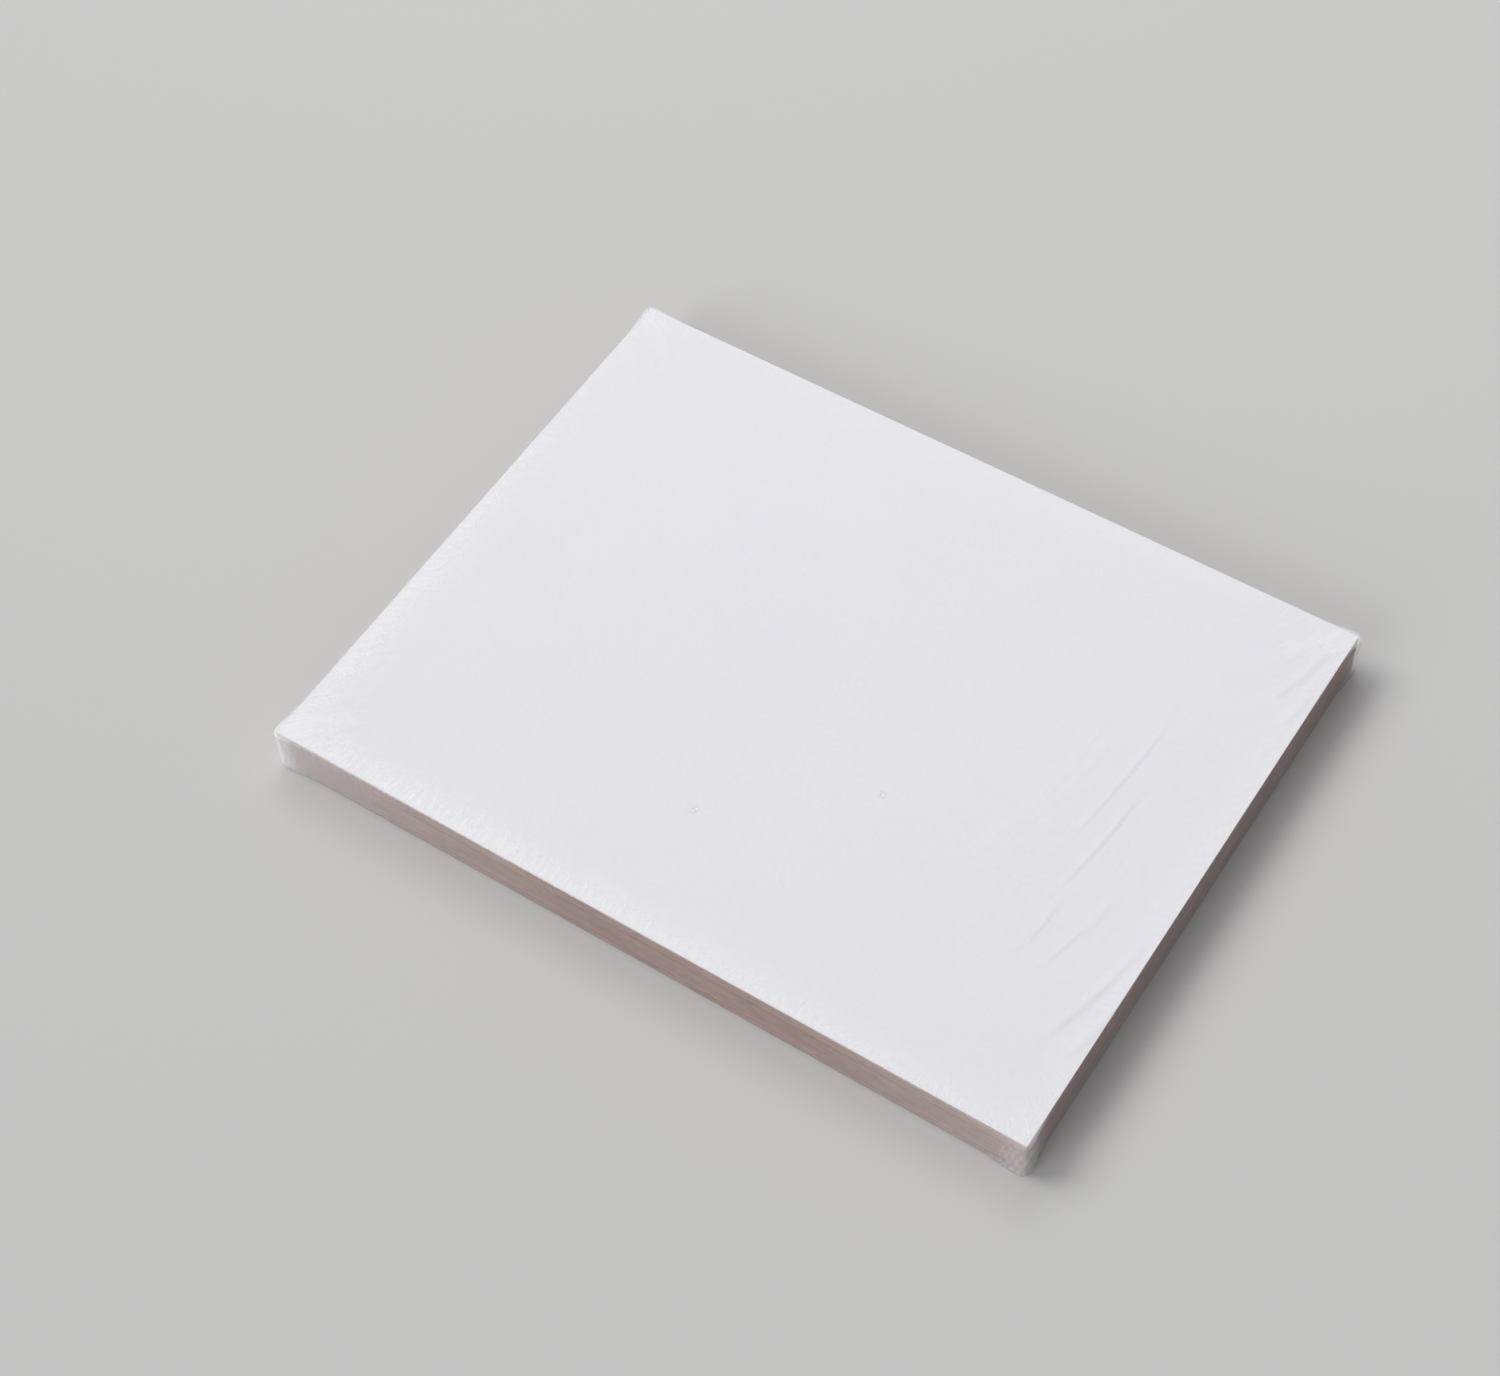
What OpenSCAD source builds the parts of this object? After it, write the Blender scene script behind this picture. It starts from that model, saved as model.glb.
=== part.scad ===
// Stack of blank shipping label sheets, sealed in clear shrink film.
// The origin is in the middle of the base: X runs along the sheets, Y across them, Z up.

/* [Sheets] */
// Length of a sheet, along X
sheet_l = 279.4; // [200:0.1:420]
// Width of a sheet, along Y
sheet_w = 215.9; // [140:0.1:300]
// Thickness of a sheet: label paper, adhesive and backing paper together
sheet_t = 0.178; // [0.1:0.002:0.4]
// Number of sheets in the stack
sheet_count = 100; // [30:1:200]
// How far a sheet may lie off the middle of the stack, each way
sheet_jog = 0.12; // [0.02:0.01:0.4]

/* [Film] */
// Thickness of the shrink film
film_t = 0.04; // [0.02:0.01:0.15]
// Inner radius of the film where it turns over the stack's upper and lower edges
edge_r = 0.35; // [0.2:0.05:0.8]
// Inner radius of the film round the stack's four upright corners
corner_r = 2.6; // [1:0.1:5]
// Room that the film leaves beside the sheets' sharp corners
corner_room = 0.2; // [0.05:0.05:1]
// Length over which the film comes back from a corner to the side of the stack
corner_l = 14; // [6:1:40]

/* [Pleats] */
// Distance from one pleat to the next, along the edges
pleat_pitch = 6; // [5:0.1:12]
// Height of the tallest pleat above the film beside it
pleat_h = 0.55; // [0.1:0.05:1.2]
// Length of a pleat on the top, halfway along a side
pleat_l = 13; // [6:1:25]
// Length of a pleat on the top, at a corner
fan_l = 26; // [10:1:45]

/* [Vent] */
// Diameter of the pinhole that lets the air out while the film shrinks
vent_d = 1.2; // [0.6:0.1:3]
// Distance of the pinhole from the middle of the stack, along X
vent_x = 40; // [-50:1:50]
// Distance of the pinhole from the middle of the stack, along Y
vent_y = -26; // [-35:1:35]

/* [Hidden] */

paper_color = [0.93, 0.92, 0.94];
film_color = [0.86, 0.88, 0.92, 0.45];

// The stack's lowest and highest faces lie on the film's inner skin.
stack_z = film_t;
stack_top = stack_z + sheet_count * sheet_t;
turn_top = stack_top - edge_r;
turn_base = stack_z + edge_r;

// Where each sheet has slipped to, along X and along Y
slip_x = rands(-sheet_jog, sheet_jog, sheet_count, 11);
slip_y = rands(-sheet_jog, sheet_jog, sheet_count, 23);

// The film's sides are numbered 0 front, 1 right, 2 back and 3 left.
// The sheets that have slipped furthest set how far each side reaches.
reach_x = sheet_l / 2 + sheet_jog;
reach_y = sheet_w / 2 + sheet_jog;
half_length = [reach_x, reach_y, reach_x, reach_y];
half_across = [reach_y, reach_x, reach_y, reach_x];

// How far the film stands off the sides at the corners, so that it clears the sheets' points
ear = corner_r * (1 - sqrt(0.5)) + corner_room;

// From the middle of each side to the place where its corner's curve starts
straight = [for (h = half_length) h + ear - corner_r];

// The pleats are tallest at the front and weakest at the back.
side_share = [1, 0.65, 0.5, 0.85];
corner_share = 0.6;
lowest_share = 0.35;
shortest_share = 0.7;

// Each pleat is at its full height at the edge, and at this share of it partway in.
partway = 0.4;
partway_share = 0.6;

// Number of pleats on each side, and how far they stray from even spacing, in half pitches
pleats = [for (s = straight) round(2 * s / pleat_pitch)];
stray = 0.3;

corner_steps = 4;
vent_steps = 12;

// A value that goes smoothly from 1 at t = 0 to 0 at t = 1
function fade(t) = t >= 1 ? 0 : 1 - t * t * (3 - 2 * t);

// The distance from a place on side k to the nearer of its corners
function from_corner(k, along) = straight[k] - abs(along);

// A point on side k, a distance along it from its middle and a distance out from the stack's
function place(k, along, out) =
    [along * cos(90 * k) + out * sin(90 * k), along * sin(90 * k) - out * cos(90 * k)];

// The stations go once round the stack. Each is its side, its place along the side, its angle
// round the corner, its pleat's height and its pleat's length. Stations with an odd number
// carry the pleats, and those with an even number lie between them.
function side_stations(k, n, tall, long) =
    let (
        nudge = rands(-stray, stray, n, 31 + k),
        step = 2 * straight[k] / n
    )
    [for (i = [0 : n - 1])
        let (
            along = step * (i + (i == 0 ? 0 : nudge[i])) - straight[k],
            length = pleat_l + (fan_l - pleat_l) * fade(from_corner(k, along) / fan_l)
        )
        [k, along, 0, i % 2 * pleat_h * side_share[k] * tall[i], length * long[i]]];

function corner_stations(k, n, tall, long) =
    [for (i = [0 : corner_steps - 1])
        [k, straight[k], 90 * i / corner_steps,
            i % 2 * pleat_h * corner_share * tall[n + i], fan_l * long[n + i]]];

stations = [
    for (k = [0 : 3])
        let (
            n = 2 * pleats[k],
            tall = rands(lowest_share, 1, n + corner_steps, 41 + k),
            long = rands(shortest_share, 1, n + corner_steps, 51 + k)
        )
        each concat(side_stations(k, n, tall, long), corner_stations(k, n, tall, long))
];
troughs = [for (i = [0 : 2 : len(stations) - 1]) stations[i]];

// The film's outline at a station, a distance off the sheets
function outline(s, off) =
    let (k = s[0], along = s[1], a = s[2])
    a == 0
        ? place(k, along, half_across[k] + ear * fade(from_corner(k, along) / corner_l) + off)
        : place(
            k,
            along + (corner_r + off) * sin(a),
            half_across[k] + ear - corner_r + (corner_r + off) * cos(a)
        );

// A point where the film turns over an edge: at 0 degrees it faces up, and at 90 outwards
function turned(s, r, a, z) = let (p = outline(s, r * sin(a))) [p.x, p.y, z + r * cos(a)];

// A point on the top of the film, a length in from the edge
function inward(s, length, z) =
    let (p = outline(s, 0))
    [p.x * (1 - length / reach_x), p.y * (1 - length / reach_y), z];

function vent_rim(z) =
    [for (i = [0 : vent_steps - 1])
        let (a = 360 * i / vent_steps - 135)
        [vent_x + vent_d / 2 * cos(a), vent_y + vent_d / 2 * sin(a), z]];

// The rings of points of one skin of the film, from the vent over the top, down the sides
// and under the base. The skin lies a distance t outside the film's inner face.
function rings(t) = [
    vent_rim(stack_top + t),
    [for (s = troughs) inward(s, s[4], stack_top + t)],
    [for (s = stations) inward(s, s[4] * partway, stack_top + t + s[3] * partway_share)],
    for (a = [0, 45, 90]) [for (s = stations) turned(s, edge_r + t + s[3], a, turn_top)],
    [for (s = troughs) turned(s, edge_r + t, 90, (turn_top + turn_base) / 2)],
    for (a = [90, 135, 180]) [for (s = troughs) turned(s, edge_r + t, a, turn_base)]
];

// Triangles between ring a and ring b. A ring is [its first point, its number of points],
// and here b has at least as many points as a.
function nearest(j, a, b) = floor(j * a[1] / b[1] + 0.5);
function zip(a, b) = [
    for (j = [0 : b[1] - 1])
        let (
            p = nearest(j, a, b),
            q = nearest(j + 1, a, b),
            b1 = b[0] + j,
            b2 = b[0] + (j + 1) % b[1],
            a1 = a[0] + p % a[1],
            a2 = a[0] + q % a[1]
        )
        each p == q ? [[a1, b2, b1]] : [[a1, b2, b1], [a1, a2, b2]]
];
function flip(faces) = [for (f = faces) [for (i = [len(f) - 1 : -1 : 0]) f[i]]];
function band(a, b) = a[1] <= b[1] ? zip(a, b) : flip(zip(b, a));

// The first point and the number of points of each ring in a list that starts at point first
function spans(rings, first, i = 0) =
    i == len(rings)
        ? []
        : concat([[first, len(rings[i])]], spans(rings, first + len(rings[i]), i + 1));

// The faces of one skin, which is closed under the base and open at the vent
function skin(s) =
    let (last = s[len(s) - 1])
    concat(
        [for (i = [0 : len(s) - 2]) each band(s[i], s[i + 1])],
        [[for (i = [0 : last[1] - 1]) last[0] + i]]
    );

// The sheets lie on one another and are modelled as one solid, with every edge showing.
module label_sheets() {
    color(paper_color)
        for (i = [0 : sheet_count - 1])
            translate([slip_x[i] - sheet_l / 2, slip_y[i] - sheet_w / 2, stack_z + i * sheet_t])
                cube([sheet_l, sheet_w, sheet_t]);
}

// The film is one closed bag: an outer skin, an inner skin, and the vent's rim between them.
module shrink_film() {
    outer = rings(film_t);
    inner = rings(0);
    points = concat([for (r = outer) each r], [for (r = inner) each r]);
    outer_spans = spans(outer, 0);
    inner_spans = spans(inner, len(points) / 2);
    color(film_color)
        polyhedron(
            points = points,
            faces = concat(
                skin(outer_spans),
                flip(skin(inner_spans)),
                band(inner_spans[0], outer_spans[0])
            ),
            convexity = 10
        );
}

label_sheets();
shrink_film();
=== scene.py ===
# %% [markdown]
# # A stack of shipping label sheets in clear shrink film
#
# The object is a stack like a ream of paper: a hundred blank Letter sheets, in a bag of thin
# clear film that was shrunk round them with hot air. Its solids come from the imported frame. The
# paper keeps its solid, where each sheet's cut edge is modelled, and gets a finish. The film is
# made anew here, because its fine gathers are what the eye sees first, and they are too small
# for a solid.

# %% Load the frame and measure the stack
import math
import random

import bmesh
import bpy
import numpy as np
from mathutils import Matrix, Vector


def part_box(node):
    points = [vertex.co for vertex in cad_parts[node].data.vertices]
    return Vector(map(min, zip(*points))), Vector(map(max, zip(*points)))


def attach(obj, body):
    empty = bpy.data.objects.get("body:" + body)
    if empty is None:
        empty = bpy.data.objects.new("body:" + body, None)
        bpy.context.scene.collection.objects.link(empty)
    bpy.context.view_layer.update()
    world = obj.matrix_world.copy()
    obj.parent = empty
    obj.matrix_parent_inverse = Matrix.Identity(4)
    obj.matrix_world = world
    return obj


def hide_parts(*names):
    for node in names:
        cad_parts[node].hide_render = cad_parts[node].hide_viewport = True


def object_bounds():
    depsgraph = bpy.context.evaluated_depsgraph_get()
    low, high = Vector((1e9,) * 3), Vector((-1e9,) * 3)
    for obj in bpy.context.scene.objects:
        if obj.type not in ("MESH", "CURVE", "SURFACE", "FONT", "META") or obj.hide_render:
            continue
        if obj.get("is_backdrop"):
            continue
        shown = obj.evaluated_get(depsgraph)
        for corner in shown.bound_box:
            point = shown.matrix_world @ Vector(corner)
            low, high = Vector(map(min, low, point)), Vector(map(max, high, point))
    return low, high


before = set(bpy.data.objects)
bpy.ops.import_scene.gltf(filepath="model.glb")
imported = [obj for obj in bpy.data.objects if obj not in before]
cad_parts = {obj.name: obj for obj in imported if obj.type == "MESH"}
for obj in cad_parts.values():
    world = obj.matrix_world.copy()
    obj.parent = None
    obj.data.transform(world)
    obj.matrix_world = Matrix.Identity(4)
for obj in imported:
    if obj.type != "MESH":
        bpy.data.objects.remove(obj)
cad_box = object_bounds()

MM = 0.001
low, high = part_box("label_sheets")
# How far the sheets reach from the middle, and how high their base and their top lie
REACH_X = max(-low[0], high[0])
REACH_Y = max(-low[1], high[1])
STACK_BASE = low[2]
STACK_TOP = high[2]
HALFWAY_UP = STACK_TOP / 2
print("sheets reach", round(REACH_X / MM, 2), "by", round(REACH_Y / MM, 2),
      "mm from the middle, and", round(STACK_TOP / MM, 2), "mm up")

# %% [markdown]
# ## The camera
#
# A camera can be placed by eye, or worked out from the picture's corners. This one was worked
# out: the stack's edges have known lengths, so its corners in the picture give the distance,
# the height and the lens. It looks down at about 55 degrees, from the right of the long side,
# with a slight lean. The lens is long enough that no shift is needed.

# %% Place the camera
CAMERA_AT = Vector((303.6, -452.7, 790.0)) * MM
CAMERA_AIM = Vector((-25.8, -2.8, 0.0)) * MM
CAMERA_LEAN = math.radians(-3.84)
LENS = 69.8
SENSOR_WIDTH = 36.0
NEAREST_SEEN = 0.01


def point_at(obj, place, aim, lean=0.0):
    """Puts a camera or a light at a place, looks at an aim and leans it about that line."""
    turn = (aim - place).to_track_quat("-Z", "Y").to_matrix().to_4x4()
    obj.matrix_world = Matrix.Translation(place) @ turn @ Matrix.Rotation(lean, 4, "Z")


camera = bpy.data.objects.new("camera", bpy.data.cameras.new("camera"))
camera.data.lens = LENS
camera.data.sensor_width = SENSOR_WIDTH
camera.data.clip_start = NEAREST_SEEN
bpy.context.scene.collection.objects.link(camera)
bpy.context.scene.camera = camera
point_at(camera, CAMERA_AT, CAMERA_AIM, CAMERA_LEAN)
print("camera", round((CAMERA_AIM - CAMERA_AT).length, 3), "m from its aim")

# %% [markdown]
# ## The film's outline, seen from above
#
# Film that is shrunk round sharp corners can't follow them. It goes round each corner in a
# small curve that stands a little off the paper, and comes back to the paper's edge further
# along. Here a column is one place on the way round the stack. Each column knows its side, how
# far along that side it is, and its angle where it lies on a corner's curve.

# %% Lay out the columns
# The film's radii over the edges and round the corners, its room beside the sheets' points, and
# the length over which it comes back to the side
EDGE_R = 0.35 * MM
CORNER_R = 2.6 * MM
CORNER_ROOM = 0.2 * MM
CORNER_LENGTH = 14 * MM
# The film's outer face lies this far off the sheets, and the film is this thick.
FILM_OFF = 0.04 * MM
FILM_T = 0.02 * MM
# One step for each side: front, right, back and left. The front's pleats need the finest.
COLUMN_STEP = [0.66 * MM, 0.82 * MM, 0.9 * MM, 0.68 * MM]
CORNER_COLUMNS = 8

# How far the film stands off the sides at a corner, and where the corners' curves start
EAR = CORNER_R * (1 - math.sqrt(0.5)) + CORNER_ROOM
HALF_LENGTH = np.array([REACH_X, REACH_Y, REACH_X, REACH_Y])
HALF_ACROSS = np.array([REACH_Y, REACH_X, REACH_Y, REACH_X])
STRAIGHT = HALF_LENGTH + EAR - CORNER_R

sides, alongs, angles, travels = [], [], [], []
travel = 0.0
for k in range(4):
    n = round(2 * STRAIGHT[k] / COLUMN_STEP[k])
    for i in range(n):
        sides.append(k)
        alongs.append(-STRAIGHT[k] + 2 * STRAIGHT[k] * i / n)
        angles.append(0.0)
        travels.append(travel + 2 * STRAIGHT[k] * i / n)
    travel += 2 * STRAIGHT[k]
    for i in range(CORNER_COLUMNS):
        sides.append(k)
        alongs.append(STRAIGHT[k])
        angles.append(math.pi / 2 * i / CORNER_COLUMNS)
        travels.append(travel + CORNER_R * angles[-1])
    travel += CORNER_R * math.pi / 2
SIDE = np.array(sides)
ALONG = np.array(alongs)
ANGLE = np.array(angles)
TRAVEL = np.array(travels)
ROUND = travel
print(len(SIDE), "columns over", round(ROUND / MM, 1), "mm")


# %% Place a row of columns
# Columns within FAN of a corner lean towards it, and the strip reaches BAND in from the edge.
FAN = 30 * MM
BAND = 16 * MM


def fade(t):
    """Goes smoothly from 1 at t = 0 to 0 at t = 1."""
    t = np.clip(t, 0, 1)
    return 1 - t * t * (3 - 2 * t)


def to_plan(along, out):
    """Turns places along and out from each column's side into x and y."""
    turn = SIDE * math.pi / 2
    return (along * np.cos(turn) + out * np.sin(turn), along * np.sin(turn) - out * np.cos(turn))


def outline(off, inset=0.0):
    """x and y of each column, a distance off the sheets or a distance in from their edge."""
    near = STRAIGHT[SIDE] - np.abs(ALONG)
    ear = EAR * (1 - inset / BAND)
    corner_inset = inset * (1 + EAR / BAND)
    along = ALONG - np.sign(ALONG) * corner_inset * np.clip(1 - near / FAN, 0, 1)
    out = HALF_ACROSS[SIDE] + ear * fade(near / CORNER_LENGTH) - inset
    bend = ANGLE > 0
    radius = CORNER_R + off
    along = np.where(bend, along + radius * np.sin(ANGLE), along)
    out = np.where(bend, out - CORNER_R + radius * np.cos(ANGLE), out + off)
    return to_plan(along, out)


stands_off = outline(0)[0].max() - REACH_X
print("the film stands", round(stands_off / MM, 2), "mm off the sheets at a corner")

# %% [markdown]
# ## The gathers
#
# Shrink film shortens everywhere at once, so along each edge the spare length stands up in
# small sharp pleats, about 2 mm apart. On this stack they are strongest along the front and
# the lower half of the left side, fan out from the corners, and lean with the pull of the film.
# A noise texture would make them even all round. Instead each pleat is a ridge of its own with
# a height, a length and a lean, and a few waypoints on each side say how these change.

# %% Choose the pleats
# Each waypoint is: place along the side from 0 to 1, height in mm, length in mm, lean in degrees
FRONT_PLEATS = [(0, 0.27, 17, 40), (0.06, 0.29, 15, 10), (0.3, 0.27, 14, -8),
                (0.55, 0.18, 11, -10), (0.8, 0.12, 9, -14), (0.93, 0.17, 12, -28),
                (1, 0.18, 14, -35)]
RIGHT_PLEATS = [(0, 0.14, 14, 50), (0.1, 0.07, 12, 40), (0.35, 0.05, 13, -45),
                (0.7, 0.07, 15, -55), (1, 0.14, 16, -60)]
BACK_PLEATS = [(0, 0.12, 13, 30), (0.1, 0.05, 8, 0), (0.5, 0.04, 6, 0), (0.9, 0.05, 8, -10),
               (1, 0.10, 12, -33)]
LEFT_PLEATS = [(0, 0.10, 11, 20), (0.15, 0.06, 8, -10), (0.45, 0.10, 12, -30),
               (0.75, 0.22, 15, -37), (1, 0.24, 17, -50)]
PLEAT_PITCH = 2.2 * MM
PLEAT_WIDTH = 1.1 * MM
PLEAT_SEED = 7
# What each pleat gets of the pitch, width, height and length above
PITCH_SHARES = (0.7, 1.3)
WIDTH_SHARES = (0.8, 1.3)
HEIGHT_SHARES = (0.35, 1.0)
LENGTH_SHARES = (0.45, 1.0)
# How much its lean strays in degrees, and its length in mm and its lean down the side
LEAN_STRAYS = 6
DROPS = (3, 9)
DROP_LEANS = (-0.4, 0.4)


def waypoint(points, t):
    """Height, length and lean at a place from 0 to 1 on a side."""
    at = [p[0] for p in points]
    return [float(np.interp(t, at, [p[c] for p in points])) for c in (1, 2, 3)]


def choose_pleats():
    """One pleat about every PLEAT_PITCH round the stack, each with its own size."""
    dice = random.Random(PLEAT_SEED)
    pleats = []
    start = 0.0
    for k, points in enumerate((FRONT_PLEATS, RIGHT_PLEATS, BACK_PLEATS, LEFT_PLEATS)):
        length = 2 * STRAIGHT[k] + CORNER_R * math.pi / 2
        at = dice.uniform(0, PLEAT_PITCH)
        while at < length:
            height, reach, lean = waypoint(points, at / length)
            along = at - STRAIGHT[k]
            near = max(STRAIGHT[k] - abs(along), 0)
            squeeze = -math.copysign(max(1 - near / FAN, 0), along)
            drift = math.tan(math.radians(lean + dice.gauss(0, LEAN_STRAYS))) - squeeze
            slant = math.hypot(1, drift)
            pleats.append({
                "at": start + at,
                "height": height * MM * dice.uniform(*HEIGHT_SHARES),
                "width": PLEAT_WIDTH * slant * dice.uniform(*WIDTH_SHARES),
                "reach": reach * MM * dice.uniform(*LENGTH_SHARES),
                "drift": drift,
                "drop": dice.uniform(*DROPS) * MM,
                "drop_drift": dice.uniform(*DROP_LEANS),
            })
            at += PLEAT_PITCH * slant * dice.uniform(*PITCH_SHARES)
        start += length
    return pleats


PLEATS = choose_pleats()
print(len(PLEATS), "pleats, the tallest", round(max(p["height"] for p in PLEATS) / MM, 2), "mm")


# %% Work out the pleats' heights
# The film is tight over the edge itself: there a pleat has TIGHT_SHARE of its height, and it
# rises to the whole of it over TIGHT.
TIGHT = 3.5 * MM
TIGHT_SHARE = 0.22
CREST_SHARPNESS = 1.4


def ridge(distance, width):
    """A ridge with a sharp crest: 1 at the crest and 0 a width away."""
    return np.clip(1 - np.abs(distance) / width, 0, None) ** CREST_SHARPNESS


def pleat_heights(inset, depth):
    """Height of the pleats at each column, at an inset on the top or a depth down the side."""
    height = np.zeros(len(TRAVEL))
    rise = 1 - (1 - TIGHT_SHARE) * float(fade(inset / TIGHT))
    for p in PLEATS:
        fall = 1 - inset / p["reach"] if inset > 0 else 1 - depth / p["drop"]
        if fall <= 0:
            continue
        crest = p["at"] + p["drift"] * inset + p["drop_drift"] * depth
        away = (TRAVEL - crest + ROUND / 2) % ROUND - ROUND / 2
        height = np.maximum(height, p["height"] * fall * rise * ridge(away, p["width"]))
    return height


for inset in (0, 4, 12):
    tallest = pleat_heights(inset * MM, 0).max() / MM
    print("pleats", inset, "mm in from the edge: up to", round(tallest, 2), "mm")

# %% [markdown]
# ## The long wrinkles
#
# Across the right of the top the film has a few long soft wrinkles, where it was pulled towards
# the far corner while it shrank. They run nearly along the short side. A cloth simulation could
# make wrinkles, but not these ones in their places, so each is a low ridge between two points
# that were measured in the picture. It fades at both ends, and bows a little, as real ones do.

# %% Choose the long wrinkles
# Each is: first point and second point in mm, height in mm, width in mm
WRINKLES = [
    ((77, -32), (88, 42), 0.17, 2.4),
    ((83, -18), (93, 30), 0.12, 2.0),
    ((93.5, -34), (104, 60), 0.24, 2.4),
    ((102.5, -34), (109, 22), 0.32, 2.2),
    ((104, -56), (107, -22), 0.23, 2.0),
    ((110, -62), (124.5, 0), 0.27, 2.4),
    ((117, -44), (122, -14), 0.17, 2.2),
    ((124.5, -77.5), (136.5, -26), 0.34, 3.0),
    ((133.5, -79), (141, -50), 0.20, 2.8),
    ((129, 76), (133.5, 98), 0.20, 3.0),
    ((125.5, 67), (131, 87), 0.17, 3.0),
    ((120, 78), (127, 99), 0.10, 3.0),
    ((133, 60), (137, 80), 0.15, 2.8),
    ((131, 38), (136, 58), 0.10, 2.8),
]
# How far a wrinkle bows, as a share of its length, and how blunt its ends are
WRINKLE_BOW = 0.02
WRINKLE_TAPER = 0.5


def wrinkle_height(x, y):
    """Height of the long wrinkles at x and y, which may be numbers or arrays."""
    total = np.zeros(np.shape(x))
    for (x0, y0), (x1, y1), height, width in WRINKLES:
        dx, dy = (x1 - x0) * MM, (y1 - y0) * MM
        length = math.hypot(dx, dy)
        px, py = x - x0 * MM, y - y0 * MM
        t = (px * dx + py * dy) / length ** 2
        bow = WRINKLE_BOW * length * np.sin(math.pi * np.clip(t, 0, 1))
        across = (py * dx - px * dy) / length + bow
        ends = fade(np.abs(2 * t - 1)) ** WRINKLE_TAPER
        total = np.maximum(total, height * MM * ends * np.exp(-(across / (width * MM / 2)) ** 2))
    return total


longest = max(math.dist(first, second) for first, second, height, width in WRINKLES)
print(len(WRINKLES), "long wrinkles, the longest", round(longest), "mm")

# %% [markdown]
# ## The haze
#
# Clear film on white paper is only seen where it isn't flat. Where it is gathered it has been
# shrunk most, and it turns slightly white, like scratched glass. That could be a texture, but
# it has to follow the pleats exactly, so it is stored with the mesh: every point gets a number
# called haze, which the finish reads later.

# %% Say how hazy the film is
# Haze goes from 0, clear, to 1, white: on the flat top, along its edges and on a full pleat.
HAZE_TOP = 0.04
HAZE_BAND = 0.30
HAZE_PLEAT = 0.25
FULL_PLEAT = 0.14 * MM
WRINKLE_SHARE = 0.15
MOST_HAZE = 0.85
# The corners at the end of the front, the right, the back and the left side
HAZE_CORNERS = np.array([0.08, 0.24, 0.12, 0.26])
HAZE_CORNER_LENGTH = 7 * MM
CORNER_SHARE_ON_TOP = 0.7
# The sides' own haze: places from 0 to 1 lie on the front, from 1 to 2 on the right, and so on
HAZE_PLACES = [0, 0.07, 0.2, 0.45, 0.7, 0.88, 1.0, 1.04, 1.9, 3.0, 3.8, 3.95, 4.0]
HAZE_SIDES = [0.44, 0.32, 0.18, 0.07, 0.07, 0.16, 0.22, 0.06, 0.03, 0.04, 0.08, 0.30, 0.44]
# The share of HAZE_BAND along the top's edges, with places as above
BAND_PLACES = [0, 0.9, 1.15, 2.0, 2.9, 3.2, 3.6, 4.0]
BAND_SHARES = [1.0, 0.7, 0.45, 0.35, 0.35, 0.45, 0.9, 1.0]


def strip_haze(pleat, side, inset):
    """How hazy a row of the film is: more on the pleats, and most round the corners."""
    near = np.where(ANGLE > 0, 0, STRAIGHT[SIDE] - np.abs(ALONG))
    corner = HAZE_CORNERS[np.where(ALONG > 0, SIDE, SIDE - 1)] * fade(near / HAZE_CORNER_LENGTH)
    place = SIDE + (ALONG / STRAIGHT[SIDE] + 1) / 2
    if side:
        base = corner + np.interp(place, HAZE_PLACES, HAZE_SIDES)
    else:
        band = HAZE_BAND * np.interp(place, BAND_PLACES, BAND_SHARES) * float(fade(inset / BAND))
        base = CORNER_SHARE_ON_TOP * corner + HAZE_TOP + band
    return np.clip(base + HAZE_PLEAT * np.clip(pleat / FULL_PLEAT, 0, 1), 0, MOST_HAZE)


haze_now = strip_haze(pleat_heights(0, 0), True, 0)
print("haze at the edge: from", round(haze_now.min(), 2), "to", round(haze_now.max(), 2))

# %% [markdown]
# ## The film
#
# The film could be a box with a noise on it, but its gathers need faces that run across the
# edges. So a long strip of grid is bent round the stack: its columns go round, and its rows go
# over the top, round the edge, down the side and under the base. A second grid fills the middle
# of the top, a bridge of triangles joins the two, and one face closes the base.

# %% Work out the rows of the strip
# Insets and depths are in mm, and turns over an edge in degrees.
TOP_ROWS = [16, 14.8, 13.6, 12.4, 11.2, 10, 8.8, 7.6, 6.4, 5.2, 4.1, 3.1, 2.2, 1.3, 0.5]
EDGE_TURNS = [0, 30, 60, 90]
SIDE_ROWS = [0.8, 2.4, 5, 8.4, 12.2, 15.2]
BASE_TURNS = [90, 180]
BASE_ROWS = [6]
SIDE_WAVE = 0.06 * MM
FULL_WAVE_DEPTH = 3
# Each wave is: number of waves round the stack, lean, share of the height
SIDE_WAVES = [(31, 190, 1.0), (74, -260, 0.7)]
CRINKLE = 0.12 * MM
CRINKLE_LENGTH = 11 * MM
CRINKLE_WAVES = [(233, 420), (149, -330)]


def side_waves(depth):
    """Slow waves of the film on the sides, and closer upright crinkles near the corners."""
    turns = 2 * math.pi * TRAVEL / ROUND
    wave = sum(share * np.sin(n * turns + lean * depth) for n, lean, share in SIDE_WAVES)
    near = np.where(ANGLE > 0, 0, STRAIGHT[SIDE] - np.abs(ALONG))
    crinkle = np.abs(math.prod(np.sin(n * turns + lean * depth) for n, lean in CRINKLE_WAVES))
    return SIDE_WAVE * wave, CRINKLE * fade(near / CRINKLE_LENGTH) * crinkle


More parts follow.
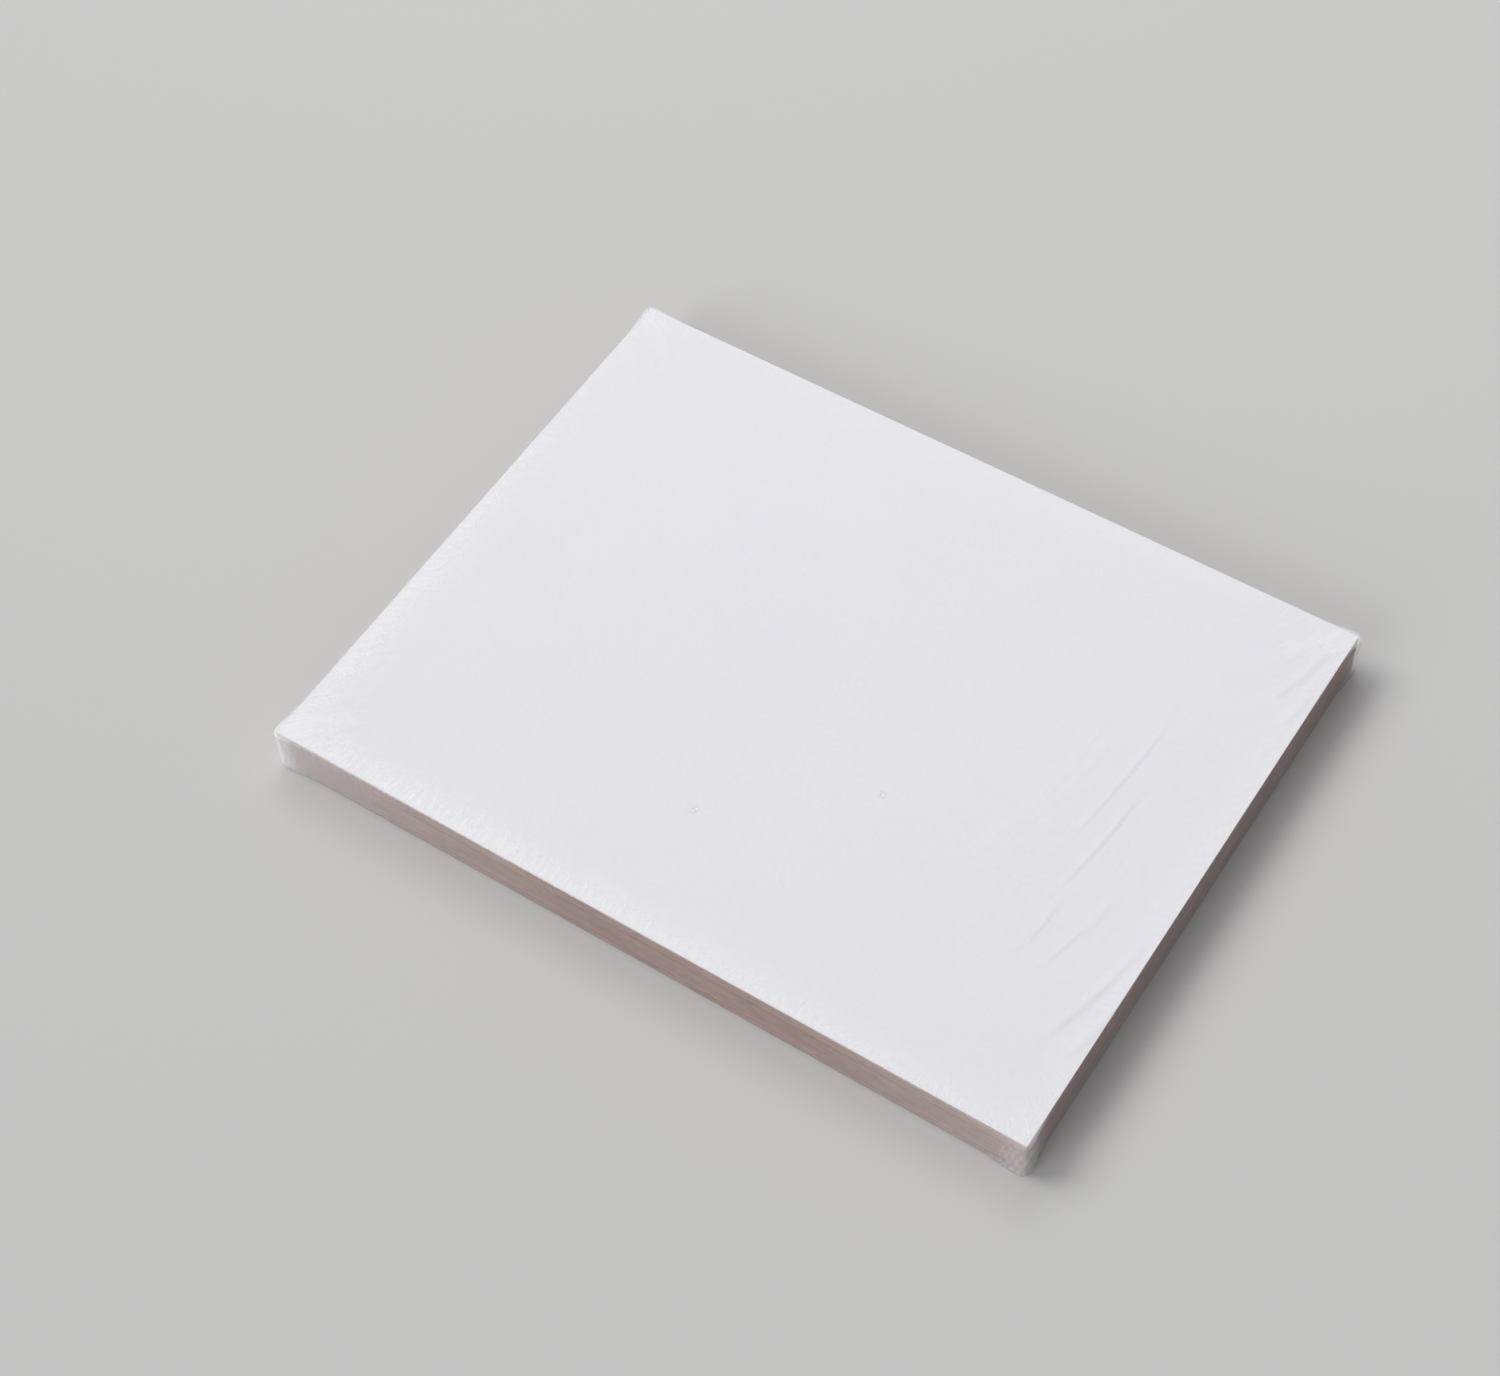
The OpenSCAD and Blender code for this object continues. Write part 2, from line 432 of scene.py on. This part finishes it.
def film_rows():
    """The rows of the strip: x, y, z and haze of every column, from the top to the base."""
    rows = []
    r = EDGE_R + FILM_OFF
    top = STACK_TOP + FILM_OFF
    turn_top = STACK_TOP - EDGE_R
    turn_base = STACK_BASE - FILM_OFF + r
    flat = np.zeros(len(SIDE))
    for inset in TOP_ROWS:
        x, y = outline(0, inset * MM)
        pleat = pleat_heights(inset * MM, 0)
        wrinkle = wrinkle_height(x, y)
        hazy = strip_haze(np.maximum(pleat, WRINKLE_SHARE * wrinkle), False, inset * MM)
        rows.append((x, y, top + np.maximum(pleat, wrinkle), hazy))
    pleat = pleat_heights(0, 0)
    for turn in EDGE_TURNS:
        a = math.radians(turn)
        x, y = outline((r + pleat) * math.sin(a))
        rows.append((x, y, turn_top + (r + pleat) * math.cos(a), strip_haze(pleat, turn > 0, 0)))
    for depth in SIDE_ROWS:
        start = min(depth / FULL_WAVE_DEPTH, 1)
        wave, crinkle = side_waves(depth * MM)
        gather = np.maximum(pleat_heights(0, depth * MM), start * crinkle)
        x, y = outline(r + np.maximum(gather, start * (wave + crinkle)))
        rows.append((x, y, flat + turn_top - depth * MM, strip_haze(gather, True, 0)))
    for turn in BASE_TURNS:
        a = math.radians(turn)
        x, y = outline(r * math.sin(a))
        rows.append((x, y, flat + turn_base + r * math.cos(a), strip_haze(flat, True, 0)))
    for inset in BASE_ROWS:
        x, y = outline(0, inset * MM)
        rows.append((x, y, flat + STACK_BASE - FILM_OFF, flat))
    return rows


rows = film_rows()
places = np.array([row[:3] for row in rows])
hazes = np.array([row[3] for row in rows])
print(len(rows), "rows, from", round(places[:, 2].min() / MM, 2), "to",
      round(places[:, 2].max() / MM, 2), "mm up")

# %% Bend a grid into the strip
MERGE = 0.001 * MM

bm = bmesh.new()
haze = bm.verts.layers.float.new("haze")
columns = len(SIDE)
grid = bmesh.ops.create_grid(bm, x_segments=columns, y_segments=len(rows) - 1, size=1.0)
for v in grid["verts"]:
    column = round((v.co.x + 1) / 2 * columns) % columns
    row = round((1 - v.co.y) / 2 * (len(rows) - 1))
    v.co = places[row, :, column]
    v[haze] = hazes[row, column]
bmesh.ops.remove_doubles(bm, verts=bm.verts, dist=MERGE)
loops = [e for e in bm.edges if e.is_boundary]
top_loop = [e for e in loops if e.verts[0].co.z > HALFWAY_UP]
base_loop = [e for e in loops if e.verts[0].co.z < HALFWAY_UP]
bmesh.ops.contextual_create(bm, geom=base_loop)
print("strip:", len(bm.faces), "faces, and", len(top_loop), "edges round the open top")

# %% Fill the middle of the top
# The grid's cells are cut finer across the long wrinkles.
CELL = 2.5 * MM
FINE_FROM_X = 70 * MM
FINE_CUTS = 3
FINE_Y = (-88 * MM, 62 * MM)
HALF_X = REACH_X - BAND - CELL
HALF_Y = REACH_Y - BAND - CELL


def side_of(edge):
    """Which of the stack's four sides an edge on its top is nearest to."""
    centre = (edge.verts[0].co + edge.verts[1].co) / 2
    if abs(centre.x) - REACH_X > abs(centre.y) - REACH_Y:
        return "right" if centre.x > 0 else "left"
    return "back" if centre.y > 0 else "front"


def wants_cuts(edge):
    """Whether an edge of the grid runs along x and lies where the long wrinkles are."""
    along_x = abs(edge.verts[0].co.y - edge.verts[1].co.y) < FILM_T
    return along_x and all(
        v.co.x > FINE_FROM_X and FINE_Y[0] < v.co.y < FINE_Y[1] for v in edge.verts)


grid = bmesh.ops.create_grid(bm, x_segments=round(2 * HALF_X / CELL),
                             y_segments=round(2 * HALF_Y / CELL), size=1.0)["verts"]
for v in grid:
    v.co = (v.co.x * HALF_X, v.co.y * HALF_Y, STACK_TOP + FILM_OFF)
grid_edges = {e for v in grid for e in v.link_edges}
rim = [e for e in grid_edges if e.is_boundary]
fine = [e for e in grid_edges if wants_cuts(e)]
for side in ("front", "right", "back", "left"):
    bmesh.ops.bridge_loops(bm, edges=[e for e in top_loop + rim if side_of(e) == side])
bmesh.ops.subdivide_edges(bm, edges=fine, cuts=FINE_CUTS, use_grid_fill=True)
middle = [v for v in bm.verts if v.co.z > HALFWAY_UP
          and abs(v.co.x) < HALF_X + FILM_T and abs(v.co.y) < HALF_Y + FILM_T]
lifts = wrinkle_height(np.array([v.co.x for v in middle]), np.array([v.co.y for v in middle]))
for v, lift in zip(middle, lifts):
    v.co.z += lift
    v[haze] = HAZE_TOP + HAZE_PLEAT * min(WRINKLE_SHARE * lift / FULL_PLEAT, 1)
print("middle:", len(middle), "points, the highest wrinkle", round(max(lifts) / MM, 2), "mm")

# %% [markdown]
# ## The vents
#
# A bag that shrinks has to let its air out, so it is pricked with a hot pin before it shrinks.
# Each vent is a pinhole of a millimetre, with a small bead of melted film round it. A painted
# dot would look flat from a low angle, so the hole is cut: a point of the grid is taken out,
# and three rings are bridged into its place. A bridge between flat loops can twist, so the
# rings are held up until they are joined.

# %% Prick the vents
# Each is: x and y in mm, the pinhole's radius in mm
VENTS = [(39.9, -25.9, 0.45), (-7.6, -61.4, 0.35)]
VENT_SIDES = 12
BEAD_WIDTH = 0.5 * MM
BEAD_HEIGHT = 0.2 * MM
HAZE_BEAD = 0.8
HELD_UP = 2 * MM


def prick(x, y, radius):
    """Opens a pinhole with a bead round it, in place of the grid's point nearest to x and y."""
    inner = [v for v in middle if v.is_valid]
    nearest = min(inner, key=lambda v: math.hypot(v.co.x - x, v.co.y - y))
    loop = [e for f in nearest.link_faces for e in f.edges if nearest not in e.verts]
    bmesh.ops.delete(bm, geom=[nearest], context="VERTS")
    level = STACK_TOP + FILM_OFF
    rings = []
    for n, r in enumerate((radius + BEAD_WIDTH, radius + BEAD_WIDTH / 2, radius), start=1):
        place = Matrix.Translation((x, y, level + n * HELD_UP))
        ring = bmesh.ops.create_circle(bm, segments=VENT_SIDES, radius=r, matrix=place)["verts"]
        ring_loop = list({e for v in ring for e in v.link_edges})
        bmesh.ops.bridge_loops(bm, edges=loop + ring_loop)
        rings.append(ring)
        loop = ring_loop
    for ring, lift, hazy in zip(rings, (0, BEAD_HEIGHT, 0), (HAZE_TOP, HAZE_BEAD, HAZE_BEAD)):
        for v in ring:
            v.co.z = level + lift
            v[haze] = hazy


for x, y, radius in VENTS:
    prick(x * MM, y * MM, radius * MM)
print(len(VENTS), "vents,", sum(e.is_boundary for e in bm.edges), "open edges round them")

# %% [markdown]
# ## The film as a piece
#
# So far the film is one skin. A solid sheet has an outside and an inside with an edge between
# them, so a Solidify modifier adds the inner skin, towards the paper. The film then stands in
# for the plain solid of the frame, which only keeps its place in the physics.

# %% Make the film a piece
bmesh.ops.recalc_face_normals(bm, faces=bm.faces)
mesh = bpy.data.meshes.new("shrink_wrap")
bm.to_mesh(mesh)
bm.free()
mesh.shade_smooth()
film = bpy.data.objects.new("shrink_wrap", mesh)
bpy.context.scene.collection.objects.link(film)
thick = film.modifiers.new("film thickness", "SOLIDIFY")
thick.thickness = FILM_T
thick.offset = -1.0
thick.material_offset = 1
thick.material_offset_rim = 1
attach(film, "root")
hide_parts("shrink_film")
print("film:", len(mesh.polygons), "faces in its outer skin")

# %% [markdown]
# ## The film's finish
#
# Real film passes most light, mirrors a little of it, and scatters a little where it is hazy.
# One glass shader could do it, but glass throws a shadow in a renderer, and the white paper
# below would go grey. So the film is mixed from three simple parts: a transparent part, a gloss
# that Fresnel lets in at flat angles, and a white that the haze lets in. Fine, faint creases
# break up the gloss, as on any thin film. The inner skin is plain transparent, because a second
# gloss there can't be told from the first.

# %% Make a helper for materials
def start_material(name):
    """A new material's own shader and surface, and helpers that feed a socket and add a node."""
    material = bpy.data.materials.new(name)
    material.use_nodes = True
    tree = material.node_tree

    def feed(socket, value):
        """Links another node's output to a socket, or sets a plain value on it."""
        if isinstance(value, bpy.types.NodeSocket):
            tree.links.new(value, socket)
        else:
            socket.default_value = value

    def add(kind, *values, output=None, **named):
        """Adds a node and returns an output of it. The values go to its inputs in turn."""
        node = tree.nodes.new("ShaderNode" + kind)
        for key, value in named.items():
            if key in node.inputs:
                feed(node.inputs[key], value)
            else:
                setattr(node, key, value)
        for socket, value in zip([s for s in node.inputs if s.enabled], values):
            feed(socket, value)
        return node.outputs[output] if output else [s for s in node.outputs if s.enabled][0]

    shader = tree.nodes["Principled BSDF"]
    surface = tree.nodes["Material Output"].inputs["Surface"]
    print("material:", name)
    return material, shader, surface, feed, add


print("a helper that starts a material and adds nodes to it is ready")

# %% Finish the film's outside
# Noise lies nearly always between these two.
NOISE_LOW = 0.3
NOISE_HIGH = 0.7
FILM_IOR = 1.5
FILM_SMOOTH = 0.09
FILM_DULL = 0.17
CREASES = 1 / (1.5 * MM)
CREASE_HEIGHT = 0.008 * MM
HAZE_WHITE = (0.92, 0.925, 0.95, 1)
HAZE_ROUGHNESS = 0.4

clear_film, shader, surface, feed, add = start_material("clear_film")
crease = add("TexNoise", Vector=add("TexCoord", output="Object"), Scale=CREASES, Detail=1.0)
bump = add("Bump", Height=crease, Distance=CREASE_HEIGHT)
dullness = add("MapRange", crease, NOISE_LOW, NOISE_HIGH, FILM_SMOOTH, FILM_DULL)
front = add("Math", 1.0, add("NewGeometry", output="Backfacing"), operation="SUBTRACT")
mirror = add("Math", add("Fresnel", IOR=FILM_IOR), front, operation="MULTIPLY")
gloss = add("BsdfGlossy", Roughness=dullness, Normal=bump)
pane = add("MixShader", mirror, add("BsdfTransparent"), gloss)
stored = add("Attribute", attribute_name="haze", output="Fac")
hazy = add("Math", stored, front, operation="MULTIPLY")
feed(shader.inputs["Base Color"], HAZE_WHITE)
feed(shader.inputs["Roughness"], HAZE_ROUGHNESS)
feed(shader.inputs["Normal"], bump)
feed(surface, add("MixShader", hazy, pane, shader.outputs[0]))
film.data.materials.append(clear_film)

# %% Finish the film's inside
inner_film, shader, surface, feed, add = start_material("film_inner_face")
feed(surface, add("BsdfTransparent"))
film.data.materials.append(inner_film)

# %% [markdown]
# ## The paper's finish
#
# A label sheet is white coated paper on a tan backing, with glue between them. From above it is
# plain white. On the cut edges the layers show as fine grey and mauve streaks, in patches where
# the knife pressed some sheets closer. The edge colours are also made darker and browner than the
# layers' own: this is painted shade, and a painted warm light bounced onto the sides. A picture
# of an edge could do it, but procedural noise has no seams and no pixels: it is stretched along
# the sheets, so that one streak is about a third of a millimetre high and a few centimetres long.
# White goes only on the outermost faces, because the ledges between the sheets would otherwise
# show as thick white stripes.

# %% Start the paper
GRAIN = 0.6

label_paper, shader, surface, feed, add = start_material("label_paper")
place = add("TexCoord", output="Object")


def noise(waves, detail):
    """Noise from 0 to 1 on Object coordinates, with its waves to a metre along x, y and z."""
    stretched = add("Mapping", Vector=place, Scale=waves)
    return add("TexNoise", Vector=stretched, Scale=1.0, Detail=detail, Roughness=GRAIN)


def mix(kind, factor, a, b):
    """Mixes two colours."""
    return add("Mix", factor, a, b, data_type="RGBA", blend_type=kind)


# %% Colour the cut edges, with their painted shade, and the white
# The two edge colours are the layers' grey and mauve, darkened and warmed with painted shade and
# a painted warm bounce light.
SHADED_EDGE_DARK = (0.345, 0.222, 0.188, 1)
SHADED_EDGE_LIGHT = (0.53, 0.362, 0.31, 1)
PATCH_DARK = (0.66, 0.63, 0.64, 1)
PATCH_LIGHT = (1.2, 1.22, 1.25, 1)
FLECK_MAUVE = (0.88, 0.74, 0.80, 1)
FLECK_BEIGE = (1.12, 1.22, 1.16, 1)
WHITE_COOL = (0.745, 0.735, 0.776, 1)
WHITE_WARM = (0.756, 0.746, 0.784, 1)
# Waves to a metre along x, y and z
STREAKS = (70, 70, 3200)
PATCHES = (55, 55, 150)
FLECKS = (260, 260, 520)
CLOUDS = (40, 40, 40)

streaks = noise(STREAKS, 3.0)
shaded_streak = mix("MIX", streaks, SHADED_EDGE_DARK, SHADED_EDGE_LIGHT)
patch = mix("MIX", noise(PATCHES, 2.0), PATCH_DARK, PATCH_LIGHT)
fleck = mix("MIX", noise(FLECKS, 3.0), FLECK_MAUVE, FLECK_BEIGE)
# edge carries the painted shade and painted warm bounce light of the edge colours above.
edge = mix("MULTIPLY", 1.0, mix("MULTIPLY", 1.0, shaded_streak, patch), fleck)
white = mix("MIX", noise(CLOUDS, 1.0), WHITE_COOL, WHITE_WARM)
print("the cut edges have streaks", round(1 / STREAKS[2] / MM, 2), "mm high")

# %% Tell the paper's faces from its cut edges
SKIN_DEEP = 0.02 * MM

upright = add("SeparateXYZ", add("NewGeometry", output="True Normal"), output="Z")
facing = add("Math", upright, operation="ABSOLUTE")
height = add("SeparateXYZ", place, output="Z")
from_middle = add("Math", height, (STACK_TOP + STACK_BASE) / 2, operation="SUBTRACT")
distance = add("Math", from_middle, operation="ABSOLUTE")
half = (STACK_TOP - STACK_BASE) / 2
outermost = add("Math", distance, half - SKIN_DEEP, operation="GREATER_THAN")
face = add("Math", facing, outermost, operation="MULTIPLY")
cut = add("Math", 1.0, face, operation="SUBTRACT")
print("white lies on the outermost", SKIN_DEEP / MM, "mm at the top and the base")

# %% Finish the paper
FIBRES = (2600, 2600, 2600)
FIBRE_HEIGHT = 0.005 * MM
STREAK_HEIGHT = 0.012 * MM
PAPER_SMOOTH = 0.62
PAPER_DULL = 0.78

fibres = noise(FIBRES, 1.0)
fibre_bump = add("Bump", Height=fibres, Distance=FIBRE_HEIGHT)
streak_bump = add("Bump", Height=streaks, Distance=STREAK_HEIGHT, Strength=cut, Normal=fibre_bump)
# The cut edges take the edge colour with its painted shade; the outermost faces take the white.
feed(shader.inputs["Base Color"], mix("MIX", face, edge, white))
dullness = add("MapRange", fibres, NOISE_LOW, NOISE_HIGH, PAPER_SMOOTH, PAPER_DULL)
feed(shader.inputs["Roughness"], dullness)
feed(shader.inputs["Normal"], streak_bump)
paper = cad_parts["label_sheets"]
paper.data.materials.clear()
paper.data.materials.append(label_paper)
print("the paper's fibres are", round(1 / FIBRES[0] / MM, 2), "mm across")

# %% [markdown]
# ## The floor and the light
#
# The stack lies on a plain pale floor. It is one big flat face, a hair below the film, so that
# the two don't flicker through each other. The light comes as from a window on the left: a wide
# sun is the key, and it puts the right side in shade. A weaker sun from the front lifts the
# front side. Suns light a floor of any size evenly, where lamps would leave it dark far out. The
# one lamp stands behind the stack, where the film mirrors it towards the camera, and gives the
# gathers their sheen.

# %% Lay the floor
FLOOR_HALF = 12.0
FLOOR_GAP = 0.1 * MM
FLOOR_COLOR = (0.60, 0.59, 0.58, 1)
FLOOR_ROUGHNESS = 0.8

bm = bmesh.new()
below = Matrix.Translation((0, 0, -FLOOR_GAP))
bmesh.ops.create_grid(bm, x_segments=1, y_segments=1, size=FLOOR_HALF, matrix=below)
mesh = bpy.data.meshes.new("floor")
bm.to_mesh(mesh)
bm.free()
floor = bpy.data.objects.new("floor", mesh)
bpy.context.scene.collection.objects.link(floor)
pale_floor, shader, surface, feed, add = start_material("pale_floor")
feed(shader.inputs["Base Color"], FLOOR_COLOR)
feed(shader.inputs["Roughness"], FLOOR_ROUGHNESS)
mesh.materials.append(pale_floor)
floor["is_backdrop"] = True
print("floor:", 2 * FLOOR_HALF, "m wide")

# %% Set the lights
# Each is: kind, name, place in m, size, strength. The size of an AREA light is its side in m,
# and that of a SUN is its width in degrees.
LIGHTS = [
    ("AREA", "sheen_light", (-0.62, 0.85, 1.4), 1.1, 7.5),
    ("SUN", "key_light", (-0.9, -0.2, 1.1), 31, 1.3),
    ("SUN", "front_fill", (-0.3, -1.2, 0.6), 35, 0.8),
]
SKY_COLOR = (0.95, 0.97, 1.0, 1)
SKY_STRENGTH = 0.35

for kind, name, at, size, strength in LIGHTS:
    light = bpy.data.objects.new(name, bpy.data.lights.new(name, kind))
    light.data.energy = strength
    if kind == "AREA":
        light.data.shape = "SQUARE"
        light.data.size = size
    else:
        light.data.angle = math.radians(size)
    bpy.context.scene.collection.objects.link(light)
    point_at(light, Vector(at), Vector((0, 0, 0)))
world = bpy.data.worlds.new("studio")
world.use_nodes = True
world.node_tree.nodes["Background"].inputs["Color"].default_value = SKY_COLOR
world.node_tree.nodes["Background"].inputs["Strength"].default_value = SKY_STRENGTH
bpy.context.scene.world = world
bpy.context.scene.view_settings.view_transform = "Standard"
print(len(LIGHTS), "lights and a pale sky")

# %% [markdown]
# ## The last measure
#
# The last step measures the whole object once more. The dressed stack has to be as large as the
# solids it stands for, so both boxes are kept, side by side.

# %% Measure the whole object again
visual_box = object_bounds()
for axis in range(3):
    solids = (cad_box[1][axis] - cad_box[0][axis]) / MM
    dressed = (visual_box[1][axis] - visual_box[0][axis]) / MM
    print("xyz"[axis], round(solids, 1), "mm as solids,", round(dressed, 1), "mm dressed")
